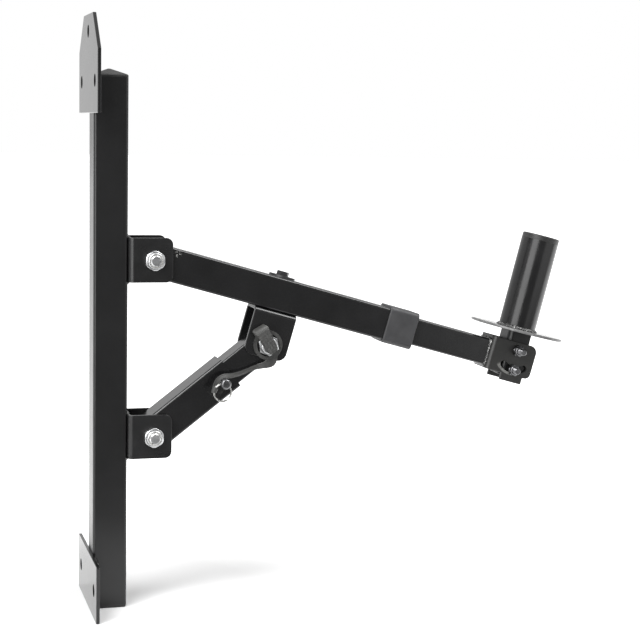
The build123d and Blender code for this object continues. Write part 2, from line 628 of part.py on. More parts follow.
# Tether eyelet: a ring round the yoke's nut, with a pull tab folded over the nut
nut_corner = PIVOT_ACROSS / sqrt(3)
eyelet_inner = nut_corner + EYELET_PLAY
eyelet_outer = eyelet_inner + EYELET_WIDTH
eyelet_ring = washer(2 * eyelet_outer, 2 * eyelet_inner, EYELET_THICK)
tab_height = SIDE_PLAY + nut_height(PIVOT_D) + BOLT_END - SEAT_GAP + TAB_THICK / 2
tab_root = eyelet_outer + TAB_OUT
tab_path = FilletPolyline(
    (eyelet_inner + TAB_THICK / 2, EYELET_THICK / 2),
    (tab_root + TAB_BEND / 2, EYELET_THICK / 2),
    (tab_root, tab_height),
    (-TAB_REACH, tab_height),
    radius=TAB_BEND,
)
tab_side = Plane.XZ * trace(tab_path, TAB_THICK)
tab = extrude(tab_side, amount=TAB_WIDTH / 2, both=True)
# Seen from the near side, the tab narrows towards its tip
tab_bounds = tab.bounding_box()
root_at = tab_bounds.max.X - TAB_CORNER
root_side = TAB_WIDTH / 2 - TAB_CORNER
tab_rounds = [Pos(root_at, side * root_side) * Circle(TAB_CORNER) for side in (-1, 1)]
tab_rounds += [Pos(tab_bounds.min.X + TAB_TIP_WIDTH / 2, 0) * Circle(TAB_TIP_WIDTH / 2)]
tab_plan = make_hull([edge for circle in tab_rounds for edge in circle.edges()])
tab = tab & extrude(tab_plan, amount=2 * tab_height, both=True)
eyelet = eyelet_ring + tab
eyelet_frame = Location((yoke_pivot.X, -yoke_width / 2 - SEAT_GAP, yoke_pivot.Z), (90, 0, 0))
nodes["tether_eyelet"] = eyelet_frame * Rot(0, 0, TAB_ANGLE) * eyelet


# Tether strap: a plain tube along the route, with arcs as large as the runs allow
def route_radii(points):
    radii = []
    for before, here, after in zip(points, points[1:], points[2:]):
        arriving = Vector(here) - Vector(before)
        leaving = Vector(after) - Vector(here)
        turn = radians(arriving.get_angle(leaving))
        radii.append(0.45 * min(arriving.length, leaving.length) / tan(turn / 2))
    return radii


strap_radii = route_radii(STRAP_ROUTE)
strap_path = FilletPolyline(*STRAP_ROUTE, radius=strap_radii)
strap = sweep(Plane(origin=strap_path @ 0, z_dir=strap_path % 0) * Circle(STRAP_D / 2), path=strap_path)
nodes["tether_strap"] = strap
section = Circle(STRAP_D / 2).area
print("strap length", round(strap_path.length, 1), "radii", [round(r, 1) for r in strap_radii])
print("strap volume by section and length", round(strap.volume / section / strap_path.length, 4))

os.makedirs("parts", exist_ok=True)
for name, shape in nodes.items():
    export_step(shape, f"parts/{name}.step")
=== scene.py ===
import json
from math import ceil, cos, floor, pi, radians, sin, sqrt, tau

import bpy
from mathutils import Matrix, Vector, noise


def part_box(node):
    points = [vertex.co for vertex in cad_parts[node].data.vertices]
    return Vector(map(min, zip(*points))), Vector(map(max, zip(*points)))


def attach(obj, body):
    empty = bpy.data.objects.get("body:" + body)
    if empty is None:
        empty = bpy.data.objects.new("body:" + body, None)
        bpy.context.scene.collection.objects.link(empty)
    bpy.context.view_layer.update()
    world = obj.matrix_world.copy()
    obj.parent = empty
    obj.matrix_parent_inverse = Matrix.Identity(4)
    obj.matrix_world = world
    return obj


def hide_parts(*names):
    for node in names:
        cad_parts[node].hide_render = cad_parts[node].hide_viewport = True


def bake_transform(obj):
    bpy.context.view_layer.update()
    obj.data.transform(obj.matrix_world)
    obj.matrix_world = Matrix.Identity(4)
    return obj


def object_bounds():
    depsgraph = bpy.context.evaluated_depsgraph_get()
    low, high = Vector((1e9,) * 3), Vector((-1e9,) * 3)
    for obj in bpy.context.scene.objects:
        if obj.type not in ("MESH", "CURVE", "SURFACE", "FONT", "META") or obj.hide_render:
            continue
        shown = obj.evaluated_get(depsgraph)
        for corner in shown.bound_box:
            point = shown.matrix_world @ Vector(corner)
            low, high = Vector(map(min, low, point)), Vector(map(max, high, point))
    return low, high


MM = 0.001

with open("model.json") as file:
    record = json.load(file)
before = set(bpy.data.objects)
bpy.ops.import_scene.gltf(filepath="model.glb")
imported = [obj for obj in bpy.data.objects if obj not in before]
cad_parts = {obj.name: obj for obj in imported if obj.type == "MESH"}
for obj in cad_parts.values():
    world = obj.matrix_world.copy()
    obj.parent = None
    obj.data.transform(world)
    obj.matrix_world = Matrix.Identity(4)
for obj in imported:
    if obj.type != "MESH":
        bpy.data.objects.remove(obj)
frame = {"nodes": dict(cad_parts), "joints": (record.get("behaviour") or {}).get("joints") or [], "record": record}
cad_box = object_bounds()
nodes = frame["nodes"]
record = frame["record"]
joints = {joint["name"]: joint for joint in frame["joints"]}
mounts = {mount["name"]: mount for mount in record["mounts"]}
slot_of = {part["node"]: part["material_slot"] for part in record["subparts"]}

# Places and directions taken from the frame
NEAR = Vector((0, -1, 0))
RIGHT = Vector((1, 0, 0))
UP = Vector((0, 0, 1))
boom_along = Vector(joints["extension_slide"]["axis"])
boom_up = NEAR.cross(boom_along)
spigot_up = Vector(mounts["spigot"]["axis"])
head_pivot = Vector(joints["head_tilt"]["pos_m"])
upper_pivot = Vector(joints["boom_tilt"]["pos_m"])
lower_pivot = Vector(joints["strut_swing"]["pos_m"])


def box_centre(node):
    low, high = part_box(node)
    return (Vector(low) + Vector(high)) / 2


# Camera of the photograph
CAMERA_AT = Vector((-0.18124, -1.38105, 0.18405))
CAMERA_YAW = radians(15.87)
CAMERA_PITCH = radians(6.941)
CAMERA_ROLL = radians(1.129)
CAMERA_FOCUS_PX = 1586.6
IMAGE_PX = 640
SENSOR_MM = 36

# White floor: its front edge lies below the picture, and it turns pure white away from the object
FLOOR_FRONT = -0.25
FLOOR_REACH = 20
FLOOR_GAP = 0.2 * MM
FLOOR_SHADE = (0.9, 0.9, 0.9, 1)
FLOOR_ROUGHNESS = 0.9
FLOOR_GLOW = 0.06
FLOOR_FADE = (0.3, 0.46)

# Lamps: a broad sun, and panels with their place, aim, width and height, and power in watts
KEY_AT = (-1.2, -1.6, 2.2)
KEY_STRENGTH = 1.0
KEY_ANGLE = radians(35)
PANELS = {
    "top_right": ((1.3, -0.7, 1.9), (0.2, 0, 0), (0.8, 1.5), 38),
    "top_left": ((-1.05, -0.7, 1.7), (0.1, 0, 0), (0.8, 1.5), 30),
    "right_fill": ((1.75, -1.5, 0.2), head_pivot, (1.8, 1.2), 5.5),
    "left_strip": ((-0.95, -1.3, 0.35), head_pivot, (1.25, 1.4), 21),
}

# White surroundings, dimmer on the camera's side where the paint mirrors them
WHITE = (1, 1, 1, 1)
AMBIENT_STRENGTH = 0.25
MIRROR_STRENGTHS = (0.36, 1.1)
MIRROR_TURN = (-0.7, 0.0)

# Colours of the paint, from its dark to its light spots, of what shows through it, and of the painted light and
# highlights on it
PAINT_DARK = (0.005, 0.005, 0.0052)
PAINT_LIGHT = (0.01, 0.01, 0.0104)
SMOOTH_LIGHT = (0.009, 0.009, 0.0094)
DEEP_DARK = (0.004, 0.004, 0.0042)
DEEP_LIGHT = (0.007, 0.007, 0.0073)
# Lighter copy of the black paint for the head clevis: painted light, for the brighter light at the head
EAR_LIT_DARK = (0.014, 0.014, 0.0134)
EAR_LIT_LIGHT = (0.025, 0.025, 0.0238)
WELD_DARK = (0.006, 0.006, 0.006)
WELD_LIGHT = (0.02, 0.02, 0.02)
# Painted glints on the weld ripples
WELD_GLINT = (0.45, 0.45, 0.44)
RUBBED_PAINT = (0.22, 0.22, 0.21)
# Painted highlight along the rim of the support disc
RIM_HIGHLIGHT = (0.2, 0.2, 0.2)
BARE_STEEL = (0.35, 0.35, 0.34)
PAINT_IOR = 1.5

# Weld beads, as on the solids that they replace
SPIGOT_WELD = 2.4 * MM
HEAD_WELD = 1.8 * MM
PLATE_WELD = 3.0 * MM
GROOVE_DEPTH = 5.5 * MM
WELD_RIPPLE = 1.5 * MM
WELD_BASE = 0.84
WELD_SWELL = 0.16
WELD_WANDER = 0.12
WELD_WANDER_LENGTH = 4 * MM
WELD_END_SHARE = 0.35
WELD_END_LEGS = 1.5
WELD_ROOT = 0.3 * MM
WELD_FLATNESS = 0.45
WELD_ROUND_REACH = 0.92
WELD_ARC_STEPS = 8
WELD_STATION = 0.22 * MM
SPIGOT_STATIONS = 560
FLAT_STATIONS = 96
CORNER_STATIONS = 14
SHEET = 3.0 * MM
TUBE_CORNER = 2.5 * MM
SLIDER_CORNER = 2.0 * MM
SLIDER_SIZE = 25.0 * MM
CLEVIS_HEIGHT = 39.0 * MM
HEAD_PIVOT_REACH = 27.0 * MM
HEAD_PIVOT_RISE = 8.8 * MM

# Lock nuts at the pivots of the wall clevises
NUT_ACROSS = 16.4 * MM
NUT_ROUND_R = 8.7 * MM
NUT_FLATS = 6.0 * MM
NUT_CROWN_R = 7.3 * MM
NUT_CROWN_ROUND = 1.6 * MM
NUT_MOUTH_R = 5.7 * MM
NUT_BORE_R = 5.1 * MM
NUT_FACE_SHARE = 0.96
NUT_CHAMFER_SLOPE = 0.8
NUT_SIDES = 72
NUT_CROWN_STEPS = 6
NUT_MOUTH_EDGE = 0.3 * MM
NUT_MOUTH_DEPTH = 1.2 * MM
NYLON_FLOOR = 1.1 * MM
NYLON_OUTER = 0.6 * MM
NYLON_INNER = 0.5 * MM

# Small bolts at the head
HEAD_BOLT_D = 6.0 * MM
HEAD_BOLT_ACROSS = 10.0 * MM
HEAD_BOLT_HEAD = 3.84 * MM
HEAD_BOLT_PITCH = 1.0 * MM
THREAD_DEPTH = 0.55 * MM
THREAD_LENGTH = 20.0 * MM
THREAD_ROWS = 6
BOLT_SIDES = 24
BOLT_TIP_CUT = 0.6 * MM
BOLT_FACE_SHARE = 0.95
BOLT_CHAMFER_SLOPE = 0.577
BOLT_HEX_SIDES = 36

# Chipped paint on the boom
CHIP_AT = Vector((76.8, -15.0, 71.2)) * MM
CHIP_REACH = 3.6 * MM
CHIP_SOLID = 0.4

# Rim of the support disc, where a lighter colour is painted on as a highlight
DISC_RADIUS = 44.0 * MM
RIM_WIDTH = 0.6 * MM

# Lip of the tongue behind the slot: places beside and along the spigot's axis from the head pivot
LIP_OUTLINE_MM = [
    (10.6, -25.0),
    (13.5, -24.6),
    (16.0, -22.6),
    (17.2, -19.6),
    (17.2, -9.0),
    (15.8, -6.6),
    (10.6, -4.0),
]
LIP_OUTER = 13.0 * MM
LIP_INNER = 10.4 * MM

# Rubbed paint beside the arc slot of the near ear
RUB_INNER = 16.0 * MM
RUB_FULL = 22.0 * MM
RUB_OUTER = 24.5 * MM
RUB_FADE = 0.8 * MM
RUB_ANGLE = radians(22)
RUB_SWEEP = radians(24)
RUB_SOLID = 0.7
RUB_DEPTH = -15.6 * MM

# Split ring of the lock pin, with the angles along its wire in degrees
RING_RADIUS = 7.8 * MM
RING_WIRE = 1.4 * MM
RING_STEP = 1.44 * MM
RING_FROM, RING_TO, RING_EVERY = 35, 686, 4
RING_TURNED = 130
RING_RISE_FROM = 330
RING_RISE_SWEEP = 60
RING_SIDES = 12

# Tether: its knurled tab, and the route of its strap from the eyelet to the split ring
TAB_ANGLE = radians(120)
TAB_FROM = -5.8 * MM
TAB_TO = 15.5 * MM
TAB_HALF_TIP = 3.6 * MM
TAB_HALF_ROOT = 5.8 * MM
KNURL_PITCH = 1.7 * MM
KNURL_HEIGHT = 0.65 * MM
KNURL_SINK = 0.1 * MM
KNURL_REACH = 0.4 * KNURL_PITCH
KNURL_COLUMNS = 6
STRAP_WIDTH = 5.4 * MM
STRAP_THICK = 1.5 * MM
STRAP_RIM = 0.3 * MM
STRAP_RIM_WIDTH = 0.9 * MM
STRAP_SOFT = 0.25 * MM
NECK_LENGTH = 14.0 * MM
NECK_FLARE = 0.9
LOOP_WIDTH = 5.0 * MM
LOOP_AT = radians(160)
LOOP_STEPS = 12
LOOP_SIDES = 20
LOOP_GAP = 0.1 * MM
LOOP_THICK = 0.7 * STRAP_THICK
STRAP_ROUTE_MM = [
    (162.2, -18.0, -20.5),
    (162.3, -18.9, -24.3),
    (160.0, -19.6, -26.6),
    (155.2, -20.0, -28.0),
    (149.0, -19.6, -29.3),
    (142.5, -19.5, -31.4),
    (133.5, -20.5, -34.8),
    (125.0, -23.0, -36.4),
    (117.0, -26.0, -36.3),
    (111.8, -27.3, -39.2),
    (109.2, -28.0, -43.5),
    (108.0, -29.6, -47.8),
]
# Way that the strap's broad face looks at each point of the route
STRAP_FACES = [
    (0, -1, 0),
    (0, -1, 0),
    (0, -1, 0.1),
    (0, -0.9, 0.45),
    (0, -0.5, 0.87),
    (0, -0.25, 0.97),
    (0, -0.3, 0.95),
    (0, -0.45, 0.9),
    (-0.1, -0.7, 0.7),
    (-0.3, -0.9, 0.3),
    (-0.2, -1, 0),
    (0, -1, 0),
]


# Node helpers for materials
def new_material(name):
    material = bpy.data.materials.new(name)
    material.use_nodes = True
    tree = material.node_tree
    return material, tree, tree.nodes["Principled BSDF"]


def add_node(tree, kind, **values):
    node = tree.nodes.new(kind)
    for key, value in values.items():
        if key in node.inputs:
            node.inputs[key].default_value = value
        else:
            setattr(node, key, value)
    return node


def place_in(tree):
    return add_node(tree, "ShaderNodeTexCoord").outputs["Object"]


def noise_at(tree, scale, detail=3.0, roughness=0.5):
    texture = add_node(tree, "ShaderNodeTexNoise", Scale=scale, Detail=detail, Roughness=roughness)
    tree.links.new(place_in(tree), texture.inputs["Vector"])
    return texture.outputs["Fac"]


def ranged(tree, value, low, high, from_low=0.3, from_high=0.7):
    limits = {"From Min": from_low, "From Max": from_high, "To Min": low, "To Max": high}
    spread = add_node(tree, "ShaderNodeMapRange")
    for key, number in limits.items():
        spread.inputs[key].default_value = number
    tree.links.new(value, spread.inputs["Value"])
    return spread.outputs["Result"]


def worked(tree, operation, first, second):
    step = add_node(tree, "ShaderNodeMath", operation=operation)
    for socket, value in zip(step.inputs, (first, second)):
        if isinstance(value, (int, float)):
            socket.default_value = value
        else:
            tree.links.new(value, socket)
    return step.outputs[0]


def multiplied(tree, values):
    product = values[0]
    for value in values[1:]:
        product = worked(tree, "MULTIPLY", product, value)
    return product


def vector_step(tree, operation, first, second=None, result="Vector"):
    step = add_node(tree, "ShaderNodeVectorMath", operation=operation)
    tree.links.new(first, step.inputs[0])
    if second is not None:
        step.inputs[1].default_value = second
    return step.outputs[result]


def mixed(tree, factor, first, second):
    mix = add_node(tree, "ShaderNodeMix", data_type="RGBA")
    colours = [socket for socket in mix.inputs if socket.type == "RGBA"]
    for socket, value in zip(colours, (first, second)):
        if isinstance(value, tuple):
            socket.default_value = (*value, 1)
        else:
            tree.links.new(value, socket)
    tree.links.new(factor, mix.inputs["Factor"])
    return [socket for socket in mix.outputs if socket.type == "RGBA"][0]


def bumped(tree, shader, height, strength, distance, below=None):
    bump = add_node(tree, "ShaderNodeBump", Strength=strength, Distance=distance)
    tree.links.new(height, bump.inputs["Height"])
    if below is not None:
        tree.links.new(below, bump.inputs["Normal"])
    tree.links.new(bump.outputs["Normal"], shader.inputs["Normal"])
    return bump.outputs["Normal"]


def painted(name, dark, light, rough_low, rough_high, peel):
    material, tree, shader = new_material(name)
    colour = mixed(tree, ranged(tree, noise_at(tree, 24, detail=5), 0, 1), dark, light)
    tree.links.new(colour, shader.inputs["Base Color"])
    sheen = noise_at(tree, 60, detail=6, roughness=0.6)
    tree.links.new(ranged(tree, sheen, rough_low, rough_high), shader.inputs["Roughness"])
    shader.inputs["IOR"].default_value = PAINT_IOR
    grain = bumped(tree, shader, noise_at(tree, 2600, detail=2), 0.15, 0.05 * MM)
    bumped(tree, shader, noise_at(tree, 420, detail=2), peel, 0.1 * MM, grain)
    return material


def covered(material, mask, colour):
    # Another colour over the paint's own, where the mask is 1
    tree = material.node_tree
    base = tree.nodes["Principled BSDF"].inputs["Base Color"]
    under = base.links[0].from_socket
    tree.links.new(mixed(tree, mask, under, colour), base)
    return material


def lit_and_worn_ear(name):
    # Black paint painted lighter all over as painted light, for the brighter light at the head; on the near ear it
    # is also rubbed to a lighter crescent beside the arc slot
    material = painted(name, EAR_LIT_DARK, EAR_LIT_LIGHT, 0.28, 0.42, 0.06)
    tree = material.node_tree
    away = vector_step(tree, "SUBTRACT", place_in(tree), head_pivot)
    flat = vector_step(tree, "MULTIPLY", away, (1, 0, 1))
    reach = vector_step(tree, "LENGTH", flat, result="Value")
    turn = vector_step(tree, "NORMALIZE", flat)
    crescent = boom_up * -cos(RUB_ANGLE) - boom_along * sin(RUB_ANGLE)
    facing = vector_step(tree, "DOT_PRODUCT", turn, crescent, "Value")
    depth = add_node(tree, "ShaderNodeSeparateXYZ")
    tree.links.new(away, depth.inputs[0])
    scuffs = noise_at(tree, 700, detail=5, roughness=0.7)
    masks = [
        ranged(tree, reach, 0, 1, RUB_INNER, RUB_FULL),
        ranged(tree, reach, 1, 0, RUB_OUTER - RUB_FADE, RUB_OUTER),
        ranged(tree, facing, 0, 1, cos(RUB_SWEEP), cos(RUB_SWEEP * RUB_SOLID)),
        ranged(tree, depth.outputs["Y"], 1, 0, RUB_DEPTH, RUB_DEPTH + RUB_FADE),
        ranged(tree, scuffs, 0.35, 1, 0.35, 0.6),
    ]
    return covered(material, multiplied(tree, masks), RUBBED_PAINT)


def rimmed_disc(name):
    # Smooth paint with a painted highlight: a patchy lighter colour along the rim
    material = painted(name, PAINT_DARK, SMOOTH_LIGHT, 0.12, 0.18, 0.03)
    tree = material.node_tree
    away = vector_step(tree, "SUBTRACT", place_in(tree), Vector(mounts["spigot"]["pos_m"]))
    swing = vector_step(tree, "CROSS_PRODUCT", away, spigot_up)
    reach = vector_step(tree, "LENGTH", swing, result="Value")
    rim = ranged(tree, reach, 0, 1, DISC_RADIUS - RIM_WIDTH, DISC_RADIUS)
    patchy = ranged(tree, noise_at(tree, 300, detail=4), 0.5, 1)
    return covered(material, multiplied(tree, [rim, patchy]), RIM_HIGHLIGHT)


def chipped(name):
    # Paint chipped to bare steel at the near top corner of the boom's hinged end
    material = painted(name, PAINT_DARK, PAINT_LIGHT, 0.13, 0.24, 0.06)
    tree = material.node_tree
    away = vector_step(tree, "DISTANCE", place_in(tree), CHIP_AT, "Value")
    close = ranged(tree, away, 1, 0, CHIP_SOLID * CHIP_REACH, CHIP_REACH)
    flakes = ranged(tree, noise_at(tree, 700, detail=4, roughness=0.65), 0, 1, 0.55, 0.59)
    return covered(material, multiplied(tree, [close, flakes]), BARE_STEEL)


def weld_paint(name):
    # Thin glossy paint over the ripples, with bright flecks painted in as glints of the ripples
    material = painted(name, WELD_DARK, WELD_LIGHT, 0.08, 0.2, 0.2)
    tree = material.node_tree
    glints = ranged(tree, noise_at(tree, 620, detail=3, roughness=0.6), 0, 1, 0.56, 0.64)
    return covered(material, glints, WELD_GLINT)


def metal(name, dark, light, rough_low, rough_high):
    material, tree, shader = new_material(name)
    colour = mixed(tree, ranged(tree, noise_at(tree, 150, detail=4), 0, 1), dark, light)
    tree.links.new(colour, shader.inputs["Base Color"])
    shader.inputs["Metallic"].default_value = 1
    sheen = noise_at(tree, 500, detail=5)
    tree.links.new(ranged(tree, sheen, rough_low, rough_high), shader.inputs["Roughness"])
    bumped(tree, shader, noise_at(tree, 1800, detail=3), 0.1, 0.05 * MM)
    return material


def moulded(name, dark, light, rough_low, rough_high, grain):
    material, tree, shader = new_material(name)
    colour = mixed(tree, ranged(tree, noise_at(tree, 90, detail=4), 0, 1), dark, light)
    tree.links.new(colour, shader.inputs["Base Color"])
    sheen = noise_at(tree, 120, detail=4)
    tree.links.new(ranged(tree, sheen, rough_low, rough_high), shader.inputs["Roughness"])
    bumped(tree, shader, noise_at(tree, 3200, detail=2), grain, 0.06 * MM)
    return material


# Finish of each material slot, and of the nodes that look different from their slot
finishes = {
    "black_paint": painted("black_powder_coat", PAINT_DARK, PAINT_LIGHT, 0.13, 0.24, 0.06),
    "black_fastener": painted("black_oxide", (0.012, 0.012, 0.013), (0.03, 0.03, 0.031), 0.3, 0.5, 0.05),
    "zinc_fastener": metal("bright_zinc", (0.45, 0.455, 0.46), (0.62, 0.625, 0.63), 0.24, 0.4),
    "ring_wire": metal("nickel_wire", (0.4, 0.4, 0.39), (0.52, 0.52, 0.5), 0.16, 0.26),
    "black_plastic": moulded("black_plastic", (0.012, 0.012, 0.012), (0.02, 0.02, 0.02), 0.38, 0.5, 0.2),
    "grey_plastic": moulded("grey_plastic", (0.03, 0.03, 0.032), (0.043, 0.043, 0.045), 0.42, 0.55, 0.3),
    "nylon": moulded("nylon", (0.55, 0.54, 0.5), (0.65, 0.64, 0.6), 0.4, 0.5, 0.1),
    "tether_rubber": moulded("grey_rubber", (0.028, 0.028, 0.027), (0.05, 0.05, 0.048), 0.45, 0.6, 0.3),
    "weld": weld_paint("painted_weld"),
}
knurl_rubber = moulded("knurl_rubber", (0.08, 0.08, 0.078), (0.12, 0.12, 0.117), 0.5, 0.65, 0.2)
smooth_paint = painted("smooth_black_paint", PAINT_DARK, SMOOTH_LIGHT, 0.09, 0.15, 0.03)
# Darker copy of the zinc as painted shade, for the head's bolts and nuts and the lock pin
shaded_zinc = metal("shaded_zinc", (0.1, 0.1, 0.105), (0.2, 0.2, 0.205), 0.2, 0.38)
satin_paint = painted("satin_black_paint", PAINT_DARK, PAINT_LIGHT, 0.24, 0.38, 0.06)
special = {
    "head_clevis": lit_and_worn_ear("lit_and_worn_powder_coat"),
    "boom_tube": chipped("chipped_powder_coat"),
    "support_disc": rimmed_disc("rimmed_disc_paint"),
    "spigot_tube": painted("streaked_paint", DEEP_DARK, SMOOTH_LIGHT, 0.16, 0.28, 0.3),
    "wall_post": painted("post_paint", DEEP_DARK, DEEP_LIGHT, 0.28, 0.32, 0.04),
    "upper_clevis": satin_paint,
    "lower_clevis": satin_paint,
    "head_tongue": satin_paint,
    "top_wall_plate": smooth_paint,
    "bottom_wall_plate": smooth_paint,
    "lock_pin": shaded_zinc,
    "head_pivot_nut": shaded_zinc,
    "head_clamp_nut": shaded_zinc,
    "head_pivot_bolt": shaded_zinc,
    "head_clamp_bolt": shaded_zinc,
}
for name, node in nodes.items():
    node.data.materials.clear()
    node.data.materials.append(special.get(name, finishes[slot_of[name]]))


# Pieces made of points and faces
def mesh_piece(name, points, faces, slot, body, smooth=radians(40), finish=None):
    mesh = bpy.data.meshes.new(name)
    mesh.from_pydata([tuple(point) for point in points], [], faces)
    mesh.polygons.foreach_set("use_smooth", [True] * len(mesh.polygons))
    mesh.set_sharp_from_angle(angle=smooth)
    mesh.materials.append(finish or finishes[slot])
    piece = bpy.data.objects.new(name, mesh)
    bpy.context.scene.collection.objects.link(piece)
    if body:
        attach(piece, body)
    return piece


def ring_faces(first, count, rings, closed):
    # Faces between rings of points: a tube, capped unless it closes on itself
    faces = []
    for row in range(rings if closed else rings - 1):
        below = first + row * count
        above = first + (row + 1) % rings * count
        for i in range(count):
            j = (i + 1) % count
            faces.append((below + i, below + j, above + j, above + i))
    if not closed:
        faces.append(tuple(range(first + count - 1, first - 1, -1)))
        top = first + (rings - 1) * count
        faces.append(tuple(range(top, top + count)))
    return faces


# Weld beads: a rippled, slightly uneven fillet along a corner
def bead(stations, leg_a, leg_b, closed, seed):
    # stations hold a corner point and the directions of the two surfaces that meet there
    points = []
    travelled = 0
    length = sum((b[0] - a[0]).length for a, b in zip(stations, stations[1:]))
    for index, (corner, side_a, side_b) in enumerate(stations):
        if index:
            travelled += (corner - stations[index - 1][0]).length
        ripple = abs(sin(pi * travelled / WELD_RIPPLE))
        wander = noise.noise(Vector((travelled / WELD_WANDER_LENGTH, seed, 0.3)))
        size = WELD_BASE + WELD_SWELL * sqrt(ripple) + WELD_WANDER * wander
        if not closed:
            end = min(travelled, length - travelled) / (WELD_END_LEGS * leg_a)
            size *= WELD_END_SHARE + (1 - WELD_END_SHARE) * sqrt(min(1, end))
        points.append(corner - (side_a + side_b) * WELD_ROOT)
        for step in range(WELD_ARC_STEPS + 1):
            angle = pi / 2 * step / WELD_ARC_STEPS
            chord = 1 / (cos(angle) + sin(angle))
            reach = size * (WELD_FLATNESS * chord + (1 - WELD_FLATNESS) * WELD_ROUND_REACH)
            along_a = side_a * leg_a * reach * cos(angle)
            along_b = side_b * leg_b * reach * sin(angle)
            points.append(corner + along_a + along_b)
    return points, ring_faces(0, WELD_ARC_STEPS + 2, len(stations), closed)


def straight_stations(start, end, side_a, side_b):
    count = ceil((end - start).length / WELD_STATION)
    return [(start.lerp(end, i / count), side_a, side_b) for i in range(count + 1)]


def weld_piece(name, body, node, beads):
    points, faces = [], []
    for bead_points, bead_faces in beads:
        faces += [tuple(index + len(points) for index in face) for face in bead_faces]
        points += bead_points
    piece = mesh_piece(name, points, faces, "black_paint", body, finish=finishes["weld"])
    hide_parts(node)


spigot_side = spigot_up.cross(NEAR)
spigot_r = mounts["spigot"]["dims"]["r_mm"] * MM
spigot_half = mounts["spigot"]["dims"]["length_mm"] * MM / 2
spigot_foot = Vector(mounts["spigot"]["pos_m"]) - spigot_up * (spigot_half + SPIGOT_WELD)
spigot_stations = []
for i in range(SPIGOT_STATIONS):
    angle = tau * i / SPIGOT_STATIONS
    outward = spigot_side * cos(angle) + NEAR * sin(angle)
    spigot_stations.append((spigot_foot + outward * spigot_r, outward, spigot_up))
spigot_bead = bead(spigot_stations, SPIGOT_WELD, SPIGOT_WELD, True, 1.7)
weld_piece("spigot_weld_bead", "head", "spigot_weld", [spigot_bead])

web_centre = head_pivot - boom_along * HEAD_PIVOT_REACH - boom_up * HEAD_PIVOT_RISE
flat = SLIDER_SIZE / 2 - SLIDER_CORNER
tube_stations = []
for quarter in range(4):
    turn = pi / 2 * quarter
    side_dir = boom_up * cos(turn) + NEAR * sin(turn)
    next_dir = boom_up * -sin(turn) + NEAR * cos(turn)
    for i in range(FLAT_STATIONS):
        spot = side_dir * SLIDER_SIZE / 2 + next_dir * flat * (2 * i / FLAT_STATIONS - 1)
        tube_stations.append((web_centre + spot, side_dir, -boom_along))
    centre = side_dir * flat + next_dir * flat
    for i in range(CORNER_STATIONS):
        angle = pi / 2 * i / CORNER_STATIONS
        outward = side_dir * cos(angle) + next_dir * sin(angle)
        tube_stations.append((web_centre + centre + outward * SLIDER_CORNER, outward, -boom_along))
head_bead = bead(tube_stations, HEAD_WELD, HEAD_WELD, True, 4.1)
weld_piece("head_weld_bead", "extension", "head_weld", [head_bead])

post_low, post_high = (Vector(corner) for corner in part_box("wall_post"))
clevis_run = post_high.y - TUBE_CORNER
clevis_beads = []
for pivot in (upper_pivot, lower_pivot):
    for side in (1, -1):
        height = pivot.z + side * CLEVIS_HEIGHT / 2
        start = Vector((post_high.x, -clevis_run, height))
        end = Vector((post_high.x, clevis_run, height))
        stations = straight_stations(start, end, UP * side, RIGHT)
        clevis_beads.append(bead(stations, PLATE_WELD, SHEET, False, pivot.z * 100 + side))
weld_piece("clevis_weld_beads", "wall_frame", "clevis_welds", clevis_beads)

groove_beads = []
top_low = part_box("top_wall_plate")[0][2]
low_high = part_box("bottom_wall_plate")[1][2]
for from_z, to_z in ((top_low, post_high.z), (post_low.z, low_high)):
    for side in (1, -1):
        start = Vector((post_low.x, side * post_high.y, from_z + PLATE_WELD))
        end = Vector((post_low.x, side * post_high.y, to_z - PLATE_WELD))
        stations = straight_stations(start, end, Vector((0, side, 0)), RIGHT)
        groove_beads.append(bead(stations, PLATE_WELD, GROOVE_DEPTH, False, from_z * 50 + side))
weld_piece("plate_weld_beads", "wall_frame", "plate_welds", groove_beads)


def hexagon_reach(angle, across):
    # Distance from the middle of a hexagon to its outline
    part = (angle + pi / 6) % (pi / 3) - pi / 6
    return across / 2 / cos(part)


# Head bolts with cut threads and hexagon heads
def threaded_bolt(name, node, body):
    low, high = (Vector(corner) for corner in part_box(node))
    centre = (low + high) / 2
    tip = Vector((centre.x, low.y, centre.z))
    seat = high.y - low.y - HEAD_BOLT_HEAD
    row_count = ceil(THREAD_LENGTH / (HEAD_BOLT_PITCH / THREAD_ROWS))
    rows = [row * HEAD_BOLT_PITCH / THREAD_ROWS for row in range(row_count + 1)]
    rows.append(seat)
    points = []
    for depth in rows:
        for i in range(BOLT_SIDES):
            angle = tau * i / BOLT_SIDES
            phase = depth / HEAD_BOLT_PITCH - i / BOLT_SIDES
            groove = abs(2 * (phase - floor(phase)) - 1)
            radius = HEAD_BOLT_D / 2 - (THREAD_DEPTH * groove if depth < THREAD_LENGTH else 0)
            radius = min(radius, HEAD_BOLT_D / 2 - BOLT_TIP_CUT + depth)
            points.append(tip + Vector((cos(angle) * radius, depth, sin(angle) * radius)))
    faces = ring_faces(0, BOLT_SIDES, len(rows), False)
    first = len(points)
    face_r = BOLT_FACE_SHARE * HEAD_BOLT_ACROSS / 2
    top = seat + HEAD_BOLT_HEAD
    angles = [tau * i / BOLT_HEX_SIDES for i in range(BOLT_HEX_SIDES)]
    outline = [(angle, hexagon_reach(angle, HEAD_BOLT_ACROSS)) for angle in angles]
    layers = [
        [(angle, reach, seat) for angle, reach in outline],
        [(angle, reach, top - BOLT_CHAMFER_SLOPE * (reach - face_r)) for angle, reach in outline],
        [(angle, face_r, top) for angle in angles],
    ]
    for layer in layers:
        points += [tip + Vector((cos(a) * reach, depth, sin(a) * reach)) for a, reach, depth in layer]
    faces += ring_faces(first, BOLT_HEX_SIDES, len(layers), False)
    piece = mesh_piece(name, points, faces, slot_of[node], body, finish=shaded_zinc)
    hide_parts(node)


